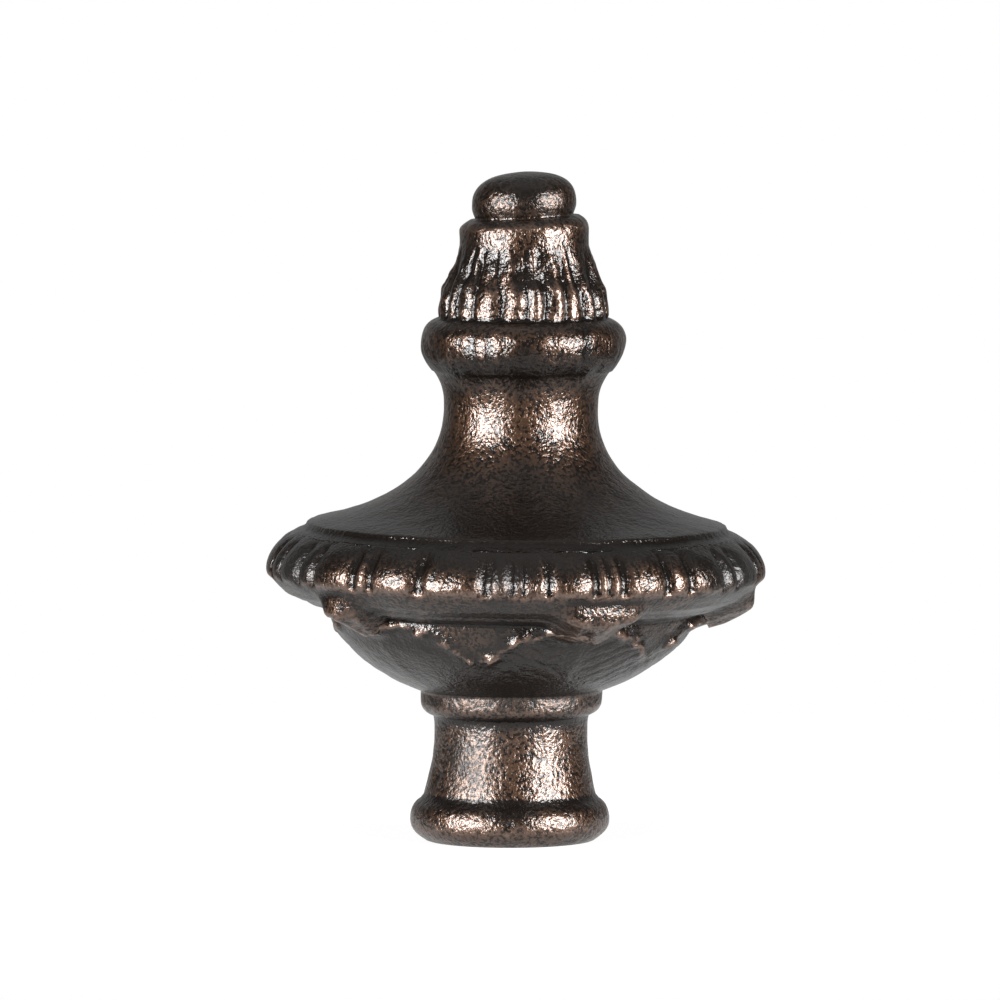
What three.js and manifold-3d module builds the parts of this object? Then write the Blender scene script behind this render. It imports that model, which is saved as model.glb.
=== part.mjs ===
// A small cast metal lamp finial, made in one piece: a ring foot with a socket in its underside, a waisted
// stem, a bowl wrapped in leaves, a wide ribbed rim, a sweeping neck, a gadrooned ring, a ribbed bell and a
// button on top. Millimetres, +Z up, the origin at the centre of the foot. The front faces -Y.

import * as THREE from "three";
import { mergeVertices } from "three/addons/utils/BufferGeometryUtils.js";
import Module from "manifold-3d";

const { degToRad, euclideanModulo, lerp, radToDeg, smoothstep } = THREE.MathUtils;
const TURN = 2 * Math.PI;

// Corners of the profile, each as radius and height. A stage stands a little proud of the flat that it sits on
const at = (r, z) => new THREE.Vector2(r, z);
const SEAT_STEP = 0.04;
const FOOT_EDGE = at(5.65, 0);
const FOOT_WIDEST = at(6.62, 1.3);
const FOOT_TOP = at(5.95, 2.7);
const STEM_FOOT = at(5.72, 3.0);
const STEM_WAIST = at(5.1, 7.4);
const COLLAR_FOOT = at(5.2, 8.3);
const COLLAR_BAND = at(6.02, 9.2);
const BOWL_FOOT = at(6.2, 10.05);
const BOWL_TOP = at(12.35, 15.3);
const RIM_FOOT = at(16.15, 17.3);
const RIM_TOP = at(14.75, 20.4);
const RIM_SEAT = at(13.95, 20.95);
const LIP = at(13.7, RIM_SEAT.y + 3 * SEAT_STEP);
const SHOULDER = at(11.9, 21.62);
const NECK = at(5.09, 28.6);
const RING_FOOT = at(6.0, 31.2);
const NECK_TOP = at(5.85, RING_FOOT.y);
const RING_WIDEST = at(6.8, 33.2);
const BELL_FOOT = at(5.62, 34.75);
const BELL_TOP = at(4.33, 39.6);
const BAND_TOP = at(4.3, 40.6);
const BUTTON_SEAT = at(3.6, 41.4);
const BUTTON_FOOT = at(3.22, BUTTON_SEAT.y + SEAT_STEP);
const BUTTON_WIDEST = at(3.45, 42.4);
const BUTTON_TOP = at(0, 44.4);

// Headings of the profile where its curves start and end, in degrees up from straight outwards
const UP = 90;
const IN = 180;
const FOOT_FLARE = 35;
const FOOT_CLOSE = 150;
const STEM_TAPER = 103;
const COLLAR_FLARE = 20;
const BOWL_FLARE = 20;
const BOWL_CLOSE = 80;
const RIM_UNDER = 22;
const RIM_FLARE = 50;
const RIM_CLOSE = 145;
const SHOULDER_RISE = 163;
const NECK_FLARE = 50;
const RING_CLOSE = 165;
const BELL_FOOT_RISE = 88;
const BELL_TOP_RISE = 104;
const BAND_RISE = 95;
const BAND_CLOSE = 150;
const BUTTON_FLARE = 70;

// How far a curve follows its end headings, as a share of its chord
const PULL = 0.38;
const BOWL_PULL = 0.3;
const BELL_PULL = 0.45;
const BUTTON_PULL = 0.42;

// The socket for a threaded stud of 6.35 mm, plain at the thread's outer size, with a drilled point
const SOCKET_R = 3.3;
const SOCKET_DEPTH = 9.5;
const SOCKET_POINT = 1.6;
const SOCKET_CHAMFER = 0.35;

// The casting bends a little out of upright, towards +X, between two heights. Its rim dips to that side, and
// its top, from the plain band up, rises to it
const BEND_SHIFT = 0.96;
const BEND_FROM = 2;
const BEND_TO = 41;
const RIM_DIP = Math.tan(degToRad(0.8));
const RIM_DIP_AT = 18.5;
const RIM_DIP_REACH = 5;
const TOP_TILT = Math.tan(degToRad(3));
const TOP_TILT_FROM = 40;
const TOP_TILT_FULL_AT = 41.4;

// Leaves round the bowl: each has a rolled edge that falls to a notch on either side, a faint midrib and a
// blunt curled tip tucked under the rim. The first notch and the tip of each are in degrees round from the
// front, and the tip's half width is a share of the leaf's
const LEAVES = [
  { notch: -97, tip: -47, tipShare: 0.14 },
  { notch: -11, tip: 22, tipShare: 0.32 },
  { notch: 53, tip: 91, tipShare: 0.22 },
  { notch: 128, tip: 162, tipShare: 0.24 },
  { notch: 196, tip: 229, tipShare: 0.2 },
];
const NOTCH_SHARE = 0.43;
const EDGE_POWER = 2.4;
const FIELD_DEPTH = 0.5;
const FIELD_SLOPE_SHARE = 0.08;
const LEAF_EDGE = 0.28;
const LEAF_EDGE_SHARE = 0.16;
const MIDRIB = 0.08;
const MIDRIB_SHARE = 0.12;
const TIP_OUT = 1.1;
const TIP_FLARE_FROM = 0.7;
const TIP_ENDS_FROM = 0.7;
const TIP_ENDS_AT = 0.97;

// Panels round the rim, in two runs that meet in front and behind, each panel parted from the next by a narrow
// reed between two cut lines
const RIGHT_REEDS = evenRun(10, degToRad(4), degToRad(19));
const LEFT_REEDS = evenRun(11, degToRad(-5.5), degToRad(-17.4));
const REEDS = [...RIGHT_REEDS, ...LEFT_REEDS];
const REED_HALF = degToRad(3.2);
const CUT_HALF = degToRad(1.6);
const PANEL_SIDE = degToRad(7.3);
const PANEL_HALF = degToRad(9);
const CUT_DEPTH = 0.3;
const REED_DROP = 0.06;
const PANEL_SWELL = 0.14;

// Ribs round the bell, which swell into tongues in its lower half, and gadroons round the ring
const RIBS = 22;
const FIRST_RIB = degToRad(5);
const FIRST_GADROON = FIRST_RIB + Math.PI / RIBS;
const FLUTE_DEPTH = 0.34;
const TONGUE_CREST = 0.08;
const TONGUE_ROUNDING = 0.36;
const TONGUE_FULL_AT = 0.35;
const TONGUE_ENDS_AT = 0.6;
const GADROON_DEPTH = 0.2;

// Columns of corners round each stage, set where its carving turns
const PLAIN_COLUMNS = evenRun(32, 0, TURN / 32);
const BELL_COLUMNS = evenRun(4 * RIBS, FIRST_RIB, TURN / (4 * RIBS));
const RIM_COLUMNS = rimColumns();

// How far each stage runs on inside the one that it is joined to
const SEAT_OVERLAP = 0.4;

const BRONZE = new THREE.MeshStandardMaterial({ color: 0x3d2f27, roughness: 0.4, metalness: 0.9 });

const wasm = await Module();
wasm.setup();

// Angles at even steps round the axis, from the front towards +X
function evenRun(count, first, step) {
  return Array.from({ length: count }, (_, index) => first + index * step);
}

// How far an angle lies from another, either way round
function between(angle, other) {
  return Math.abs(euclideanModulo(angle - other + Math.PI, TURN) - Math.PI);
}

// How far an angle lies from the nearest reed on the rim
function fromReed(angle) {
  return Math.min(...REEDS.map((reed) => between(angle, reed)));
}

// Angles at the middle, the cuts and the sides of every reed on the rim, in order round it
function rimColumns() {
  const offsets = [-PANEL_SIDE, -REED_HALF - CUT_HALF, -REED_HALF, 0, REED_HALF, REED_HALF + CUT_HALF, PANEL_SIDE];
  const columns = [];
  for (const reed of REEDS) {
    const itsOwn = offsets.filter((offset) => Math.abs(offset) < fromReed(reed + offset) + 1e-6);
    columns.push(...itsOwn.map((offset) => euclideanModulo(reed + offset, TURN)));
  }
  return columns.sort((a, b) => a - b);
}

// Where on its leaf an angle lies: how far across, 0 at the tip and 1 in the notch on either side, and how far
// the curled tip stands out there, from 0 to 1
function onLeaf(angle) {
  const first = LEAVES[0].notch;
  const degrees = euclideanModulo(radToDeg(angle) - first, 360) + first;
  const leaf = LEAVES.findLastIndex(({ notch }) => notch <= degrees);
  const { notch, tip, tipShare } = LEAVES[leaf];
  const nextNotch = LEAVES[leaf + 1]?.notch ?? first + 360;
  const across = (degrees - tip) / ((degrees < tip ? notch : nextNotch) - tip);
  return { across, curl: bump(across, tipShare, 4) };
}

// How far an angle lies from the nearest of several evenly spaced marks, 1 being half way between two
function offMark(angle, count, first) {
  const turns = ((angle - first) * count) / TURN;
  return 2 * (turns - Math.round(turns));
}

// A bump of height 1 that fades out over about one reach, with a flatter top for a higher power
const bump = (distance, reach, power = 2) => Math.exp(-((distance / reach) ** power));

// How far up between two corners of the profile a height lies, from 0 to 1
const shareOf = (z, low, high) => (z - low.y) / (high.y - low.y);

// Relief of the leaves on the bowl: a sunk field above each edge, the rolled edge, the midrib, and the tip
// where it flares away from the bowl
function leafRelief(angle, along, z) {
  const share = shareOf(z, BOWL_FOOT, BOWL_TOP);
  const { across, curl } = onLeaf(angle);
  const edge = 1 - (1 - NOTCH_SHARE) * across ** EDGE_POWER;
  const flare = TIP_OUT * curl * smoothstep(share, TIP_FLARE_FROM, 1);
  if (share > edge) return flare - FIELD_DEPTH * Math.min(1, (share - edge) / FIELD_SLOPE_SHARE);
  const fade = Math.min(1, share / NOTCH_SHARE);
  const rolled = LEAF_EDGE * bump(edge - share, LEAF_EDGE_SHARE);
  return flare + fade * (rolled + MIDRIB * bump(across, MIDRIB_SHARE));
}

// Relief of the curled leaf tips on the underside of the rim
function tipRelief(angle, along) {
  return TIP_OUT * onLeaf(angle).curl * (1 - smoothstep(along, TIP_ENDS_FROM, TIP_ENDS_AT));
}

// Relief of the rim: swelling panels, cut lines and the reeds between them
function panelRelief(angle, along) {
  const off = fromReed(angle);
  const fade = Math.sqrt(Math.sin(Math.PI * along));
  const cut = Math.max(0, 1 - Math.abs(off - REED_HALF) / CUT_HALF);
  if (off < REED_HALF) return -fade * (REED_DROP + (CUT_DEPTH - REED_DROP) * cut);
  const acrossPanel = (off - REED_HALF) / (PANEL_HALF - REED_HALF);
  return fade * (PANEL_SWELL * Math.sin((Math.PI / 2) * acrossPanel) - CUT_DEPTH * cut);
}

// Relief of the bell: narrow ribs with hollow flutes between them above, swelling into tongues below
function ribRelief(angle, along, z) {
  const share = shareOf(z, BELL_FOOT, BELL_TOP);
  const across = Math.abs(offMark(angle, RIBS, FIRST_RIB));
  const tongue = TONGUE_CREST - TONGUE_ROUNDING * across ** 2;
  const flute = -FLUTE_DEPTH * (1 - (1 - across) ** 2) * Math.sqrt(1 - share);
  return lerp(tongue, flute, smoothstep(share, TONGUE_FULL_AT, TONGUE_ENDS_AT));
}

// Relief of the ring: shallow gadroons parted by cut lines
function gadroonRelief(angle, along) {
  return -GADROON_DEPTH * Math.sin(Math.PI * along) * offMark(angle, RIBS, FIRST_GADROON) ** 4;
}

// A straight stretch of the profile
const line = (from, to) => new THREE.LineCurve(from, to);

// A curved stretch of the profile that leaves and arrives on given headings
function bend(from, leaving, to, arriving, pull = PULL) {
  const reach = pull * from.distanceTo(to);
  const step = (heading) => at(Math.cos(degToRad(heading)), Math.sin(degToRad(heading))).multiplyScalar(reach);
  return new THREE.CubicBezierCurve(from, from.clone().add(step(leaving)), to.clone().sub(step(arriving)), to);
}

// Stations along one stretch of the profile, each with its outward direction and the carving that shapes it
function stretch(curve, steps = 1, carve = () => 0) {
  return Array.from({ length: steps + 1 }, (_, step) => {
    const along = step / steps;
    const tangent = curve.getTangent(along);
    return { place: curve.getPoint(along), out: at(tangent.y, -tangent.x), along, carve };
  });
}

// A closed solid of a geometry, with shared corners merged and the flat triangles at the poles left out
function solidOf(geometry) {
  geometry.deleteAttribute("normal");
  geometry.deleteAttribute("uv");
  const merged = mergeVertices(geometry, 1e-4);
  const corners = merged.index.array;
  const kept = [];
  for (let i = 0; i < corners.length; i += 3) {
    const [a, b, c] = corners.slice(i, i + 3);
    if (a !== b && b !== c && c !== a) kept.push(a, b, c);
  }
  const vertProperties = merged.attributes.position.array;
  return new wasm.Manifold(new wasm.Mesh({ numProp: 3, vertProperties, triVerts: new Uint32Array(kept) }));
}

// A point of the upright form moved to where it lies in the bent and tilted casting
function settled(x, y, z) {
  const dip = RIM_DIP * bump(z - RIM_DIP_AT, RIM_DIP_REACH, 4);
  const rise = TOP_TILT * smoothstep(z, TOP_TILT_FROM, TOP_TILT_FULL_AT);
  return new THREE.Vector3(x + BEND_SHIFT * smoothstep(z, BEND_FROM, BEND_TO), y, z + (rise - dip) * x);
}

// One turned stage of the casting: a lathe of its stations, with the carving pressed into each corner
function turned(columns, ...stretches) {
  const all = stretches.flat();
  const stations = all.filter((station, i) => i === 0 || station.place.distanceTo(all[i - 1].place) > 1e-6);
  const lathe = new THREE.LatheGeometry(stations.map((station) => station.place), columns.length);
  const corners = lathe.attributes.position;
  for (let column = 0; column <= columns.length; column++) {
    const angle = columns[column % columns.length];
    stations.forEach(({ place, out, along, carve }, row) => {
      const relief = carve(angle, along, place.y);
      const r = place.x + out.x * relief;
      const z = place.y + out.y * relief;
      const { x, y, z: height } = settled(r * Math.sin(angle), -r * Math.cos(angle), z);
      corners.setXYZ(column * stations.length + row, x, y, height);
    });
  }
  return solidOf(lathe);
}

// The foot, the stem and the collar, up to where they enter the bowl, with the socket in the underside
function footAndStem() {
  const socketEnd = at(SOCKET_R, SOCKET_DEPTH);
  const socketLip = at(SOCKET_R, SOCKET_CHAMFER);
  const socketMouth = at(SOCKET_R + SOCKET_CHAMFER, 0);
  const top = BOWL_FOOT.y + SEAT_OVERLAP;
  return turned(
    PLAIN_COLUMNS,
    stretch(line(at(0, SOCKET_DEPTH + SOCKET_POINT), socketEnd)),
    stretch(line(socketEnd, socketLip)),
    stretch(line(socketLip, socketMouth)),
    stretch(line(socketMouth, FOOT_EDGE)),
    stretch(bend(FOOT_EDGE, FOOT_FLARE, FOOT_WIDEST, UP), 2),
    stretch(bend(FOOT_WIDEST, UP, FOOT_TOP, FOOT_CLOSE), 3),
    stretch(line(FOOT_TOP, STEM_FOOT)),
    stretch(bend(STEM_FOOT, STEM_TAPER, STEM_WAIST, UP), 3),
    stretch(line(STEM_WAIST, COLLAR_FOOT)),
    stretch(bend(COLLAR_FOOT, COLLAR_FLARE, COLLAR_BAND, UP), 3),
    stretch(line(COLLAR_BAND, at(COLLAR_BAND.x, top))),
    stretch(line(at(COLLAR_BAND.x, top), at(0, top))),
  );
}

// The leafy bowl, the underside of the rim and the ribbed rim
function bowlAndRim() {
  return turned(
    RIM_COLUMNS,
    stretch(line(at(0, BOWL_FOOT.y), BOWL_FOOT)),
    stretch(bend(BOWL_FOOT, BOWL_FLARE, BOWL_TOP, BOWL_CLOSE, BOWL_PULL), 6, leafRelief),
    stretch(bend(BOWL_TOP, RIM_UNDER, RIM_FOOT, RIM_FLARE), 3, tipRelief),
    stretch(bend(RIM_FOOT, RIM_FLARE, RIM_TOP, RIM_CLOSE), 4, panelRelief),
    stretch(line(RIM_TOP, RIM_SEAT)),
    stretch(line(RIM_SEAT, at(0, RIM_SEAT.y))),
  );
}

// The lip on the rim and the sweep of the shoulder into the neck
function neck() {
  const foot = LIP.y - SEAT_OVERLAP;
  const top = NECK_TOP.y + SEAT_OVERLAP;
  return turned(
    PLAIN_COLUMNS,
    stretch(line(at(0, foot), at(LIP.x, foot))),
    stretch(line(at(LIP.x, foot), LIP)),
    stretch(line(LIP, SHOULDER)),
    stretch(bend(SHOULDER, SHOULDER_RISE, NECK, UP), 6),
    stretch(bend(NECK, UP, NECK_TOP, NECK_FLARE), 3),
    stretch(line(NECK_TOP, at(NECK_TOP.x, top))),
    stretch(line(at(NECK_TOP.x, top), at(0, top))),
  );
}

// The gadrooned ring, the ribbed bell and its plain band
function ringAndBell() {
  return turned(
    BELL_COLUMNS,
    stretch(line(at(0, RING_FOOT.y), RING_FOOT)),
    stretch(bend(RING_FOOT, NECK_FLARE, RING_WIDEST, UP), 2, gadroonRelief),
    stretch(bend(RING_WIDEST, UP, BELL_FOOT, RING_CLOSE), 3),
    stretch(bend(BELL_FOOT, BELL_FOOT_RISE, BELL_TOP, BELL_TOP_RISE, BELL_PULL), 4, ribRelief),
    stretch(line(BELL_TOP, BAND_TOP)),
    stretch(bend(BAND_TOP, BAND_RISE, BUTTON_SEAT, BAND_CLOSE), 2),
    stretch(line(BUTTON_SEAT, at(0, BUTTON_SEAT.y))),
  );
}

// The button on top
function button() {
  const foot = at(BUTTON_FOOT.x, BUTTON_FOOT.y - SEAT_OVERLAP);
  return turned(
    PLAIN_COLUMNS,
    stretch(line(at(0, foot.y), foot)),
    stretch(line(foot, BUTTON_FOOT)),
    stretch(bend(BUTTON_FOOT, BUTTON_FLARE, BUTTON_WIDEST, UP), 2),
    stretch(bend(BUTTON_WIDEST, UP, BUTTON_TOP, IN, BUTTON_PULL), 5),
  );
}

// The finished casting as one mesh
function casting() {
  const upper = [bowlAndRim(), neck(), ringAndBell(), button()];
  const whole = upper.reduce((joined, stage) => joined.add(stage), footAndStem());
  const { vertProperties, triVerts } = whole.getMesh();
  const geometry = new THREE.BufferGeometry();
  geometry.setAttribute("position", new THREE.BufferAttribute(vertProperties, 3));
  geometry.setIndex(new THREE.BufferAttribute(triVerts, 1));
  const mesh = new THREE.Mesh(geometry, BRONZE);
  mesh.name = "finial_casting";
  return mesh;
}

const finial = new THREE.Group();
finial.name = "lamp_finial";
finial.add(casting());

export default finial;
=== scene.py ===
"""A cast lamp finial in dark antique bronze, finely carved and dressed, on a pale studio floor."""

import logging
import math
from dataclasses import dataclass, field
from enum import Enum
from typing import Any, Callable

import bpy
import numpy as np
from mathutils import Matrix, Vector


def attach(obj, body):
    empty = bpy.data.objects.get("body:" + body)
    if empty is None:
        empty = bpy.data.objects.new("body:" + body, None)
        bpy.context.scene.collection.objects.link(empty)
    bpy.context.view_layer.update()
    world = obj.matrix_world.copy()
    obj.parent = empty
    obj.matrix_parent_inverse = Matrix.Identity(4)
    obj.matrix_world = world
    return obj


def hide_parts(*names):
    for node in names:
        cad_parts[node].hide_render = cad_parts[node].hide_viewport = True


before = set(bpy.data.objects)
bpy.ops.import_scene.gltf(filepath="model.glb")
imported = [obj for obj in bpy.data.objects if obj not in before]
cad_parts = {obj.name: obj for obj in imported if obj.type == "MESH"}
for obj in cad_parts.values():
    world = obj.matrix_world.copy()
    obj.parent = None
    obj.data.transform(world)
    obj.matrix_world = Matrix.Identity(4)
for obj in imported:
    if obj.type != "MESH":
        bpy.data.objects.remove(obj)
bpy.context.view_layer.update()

log = logging.getLogger("finial")

MM = 0.001
TURN = 2.0 * math.pi
ON_AXIS = 1e-6
NO_LENGTH = 1e-9
WHITE = (1.0, 1.0, 1.0, 1.0)

Array = np.ndarray
Corner = tuple[float, float]
Span = tuple[float, float]
Colour = tuple[float, float, float]
Relief = Callable[["Places"], Array]
Settings = dict[str, Any] | None


class Heading(float, Enum):
    """Plain directions of the profile, in degrees up from straight outwards."""

    UP = 90.0
    IN = 180.0


class Mark(Enum):
    """What the mesh keeps at each corner for the finish to follow."""

    # Dark glaze together with painted shade on undersides, tops, creases and sides that get less light.
    GLAZE_AND_SHADE = "glaze_and_shade"
    DULL = "dull"
    HOLLOW = "hollow"


def bump(distance: Array, reach: float, power: int = 2) -> Array:
    """A bump of height 1 that fades out over about one reach, flatter on top for a higher power."""
    return np.exp(-((distance / reach) ** power))


def ease(value: Array, low: float, high: float) -> Array:
    """A smooth step from 0 at low to 1 at high."""
    share = np.clip((value - low) / (high - low), 0.0, 1.0)
    return share * share * (3.0 - 2.0 * share)


def off_mark(angle: Array, count: int, first: float) -> tuple[Array, Array]:
    """How far each angle lies from the nearest of evenly spaced marks.

    Args:
        angle: Angles round the axis, in radians.
        count: How many marks there are.
        first: The angle of one mark, in degrees.

    Returns:
        The offset, from -1 to 1, where 1 is half way to the next mark, and the number of the nearest mark.
    """
    turns = (angle - math.radians(first)) * count / TURN
    nearest = np.round(turns)
    return 2.0 * (turns - nearest), nearest.astype(int) % count


def shorter_way(degrees: Array) -> Array:
    """The same turns taken the shorter way round, from -180 to 180 degrees."""
    return (degrees + 180.0) % 360.0 - 180.0


def heading_step(heading: float) -> Array:
    """A step of length 1 on a heading in degrees."""
    return np.array((math.cos(math.radians(heading)), math.sin(math.radians(heading))))


@dataclass(frozen=True)
class Profile:
    """Corners of the turned profile, each as radius and height in millimetres."""

    socket_point: Corner = (0.0, 11.1)
    socket_end: Corner = (3.3, 9.5)
    socket_lip: Corner = (3.3, 0.35)
    socket_mouth: Corner = (3.65, 0.0)
    foot_edge: Corner = (5.65, 0.0)
    foot_widest: Corner = (6.62, 1.3)
    foot_top: Corner = (5.95, 2.7)
    stem_foot: Corner = (5.72, 3.0)
    stem_waist: Corner = (5.1, 7.4)
    collar_foot: Corner = (5.2, 8.3)
    collar_band: Corner = (6.02, 9.2)
    collar_top: Corner = (6.02, 10.0)
    bowl_foot: Corner = (6.2, 10.05)
    bowl_top: Corner = (12.35, 15.3)
    rim_foot: Corner = (16.15, 17.3)
    rim_top: Corner = (14.75, 20.4)
    lip_edge: Corner = (13.95, 20.95)
    lip: Corner = (13.7, 21.12)
    shoulder: Corner = (11.9, 21.62)
    neck: Corner = (5.09, 28.6)
    neck_top: Corner = (5.85, 31.2)
    ring_foot: Corner = (6.0, 31.25)
    ring_widest: Corner = (6.8, 33.2)
    bell_foot: Corner = (5.62, 34.75)
    bell_top: Corner = (4.33, 39.6)
    band_top: Corner = (4.3, 40.6)
    button_seat: Corner = (3.6, 41.4)
    button_foot: Corner = (3.22, 41.44)
    button_widest: Corner = (3.45, 42.4)
    button_top: Corner = (0.0, 44.4)


@dataclass(frozen=True)
class Sweep:
    """One stretch of the profile between two corners: a curve if it has headings, else straight.

    Attributes:
        start: The corner that it leaves.
        end: The corner that it reaches.
        rows: How many rows of faces it has.
        leaving: Its heading at the start, in degrees up from straight outwards.
        arriving: Its heading at the end.
        pull: How far it follows its end headings, as a share of its chord.
        relief: The carving on it, from places to millimetres outwards.
        glaze_and_shade: How much dark glaze and painted shade lie on it at its start and at its end, from 0
            to 1; the painted shade darkens undersides, tops and creases where less light falls.
        bare: How much of the glaze was rubbed off, from places to a share from 0 to 1.
    """

    start: Corner
    end: Corner
    rows: int
    leaving: float | None = None
    arriving: float | None = None
    pull: float = 0.38
    relief: Relief | None = None
    # dark glaze and painted shade at the start and at the end
    glaze_and_shade: Span = (0.3, 0.3)
    bare: Relief | None = None

    def stations(self) -> tuple[Array, Array, Array]:
        """Samples the stretch.

        Returns:
            The share along it, the place and the outward direction of each station.
        """
        start = np.array(self.start)
        end = np.array(self.end)
        chord = end - start
        straight = math.degrees(math.atan2(chord[1], chord[0]))
        leaving = straight if self.leaving is None else self.leaving
        arriving = straight if self.arriving is None else self.arriving
        reach = self.pull * float(np.linalg.norm(chord))
        after_start = start + reach * heading_step(leaving)
        before_end = end - reach * heading_step(arriving)
        pulls = np.array((start, after_start, before_end, end))
        legs = np.diff(pulls, axis=0)
        along = np.linspace(0.0, 1.0, self.rows + 1)[:, None]
        rest = 1.0 - along
        place = (
            rest**3 * pulls[0]
            + 3 * rest**2 * along * pulls[1]
            + 3 * rest * along**2 * pulls[2]
            + along**3 * pulls[3]
        )
        slope = rest**2 * legs[0] + 2 * rest * along * legs[1] + along**2 * legs[2]
        slope /= np.linalg.norm(slope, axis=1, keepdims=True)
        return along[:, 0], place, np.column_stack((slope[:, 1], -slope[:, 0]))


@dataclass(frozen=True)
class Unevenness:
    """Seeded smooth noise in space, from -1 to 1.

    Attributes:
        seed: The seed of the noise.
        grid: After how many lumps it repeats.
    """

    seed: int
    grid: int = 24

    def at(self, places: Array, wavelength: float) -> Array:
        """The noise at some places.

        Args:
            places: Points, with their coordinates in the last axis.
            wavelength: The size of one lump, in the points' unit.

        Returns:
            One value for each point.
        """
        lattice = np.random.default_rng(self.seed).uniform(-1.0, 1.0, (self.grid,) * 3)
        cells = places / wavelength
        corner = np.floor(cells).astype(int)
        share = ease(cells - corner, 0.0, 1.0)
        total = np.zeros(places.shape[:-1])
        for step in np.ndindex(2, 2, 2):
            index = (corner + step) % self.grid
            weight = np.where(np.array(step) == 1, share, 1.0 - share).prod(axis=-1)
            total += weight * lattice[index[..., 0], index[..., 1], index[..., 2]]
        return total


@dataclass(frozen=True)
class Places:
    """Places on one stretch of the turned form, as arrays that spread over rows and columns.

    Attributes:
        angle: Angles round the axis in radians, from the front towards +X, by columns.
        along: Shares of the way along the stretch, from 0 to 1, by rows.
        height: Heights in millimetres, by rows.
    """

    angle: Array
    along: Array
    height: Array

    def lumps(self, radius: float, size: float, seed: int) -> Array:
        """Seeded lumps at the places, as on a cylinder.

        Args:
            radius: The cylinder's radius, in millimetres.
            size: The size of one lump, in millimetres.
            seed: The seed of the lumps.

        Returns:
            One value from -1 to 1 for each place, by rows and columns.
        """
        x = radius * np.sin(self.angle)
        y = -radius * np.cos(self.angle)
        spread = np.broadcast_arrays(x, y, self.height)
        return Unevenness(seed).at(np.stack(spread, axis=-1), size)


@dataclass(frozen=True)
class SocketThread:
    """The fine thread in the socket.

    Attributes:
        pitch: From one turn to the next, in millimetres.
        depth: How far its ridges stand out of the wall, in millimetres.
        run_out: The share of the socket over which it fades at each end.
    """

    pitch: float = 0.94
    depth: float = 0.22
    run_out: float = 0.06

    def relief(self, at: Places) -> Array:
        """Carves the thread.

        Args:
            at: Places on the socket's wall.

        Returns:
            Millimetres out of the wall.
        """
        turns = at.height / self.pitch - at.angle / TURN
        ridge = 1.0 - 2.0 * np.abs(turns - np.round(turns))
        ends = ease(at.along, 0.0, self.run_out) * ease(1.0 - at.along, 0.0, self.run_out)
        return self.depth * ridge * ends


@dataclass(frozen=True)
class Leaf:
    """One leaf on the bowl.

    Attributes:
        notch: Where it starts, in degrees round from the front.
        tip: Where its tip is.
        tip_share: The tip's half width, as a share of the leaf's.
        veined: How strongly it is veined.
    """

    notch: float
    tip: float
    tip_share: float
    veined: float


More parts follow.
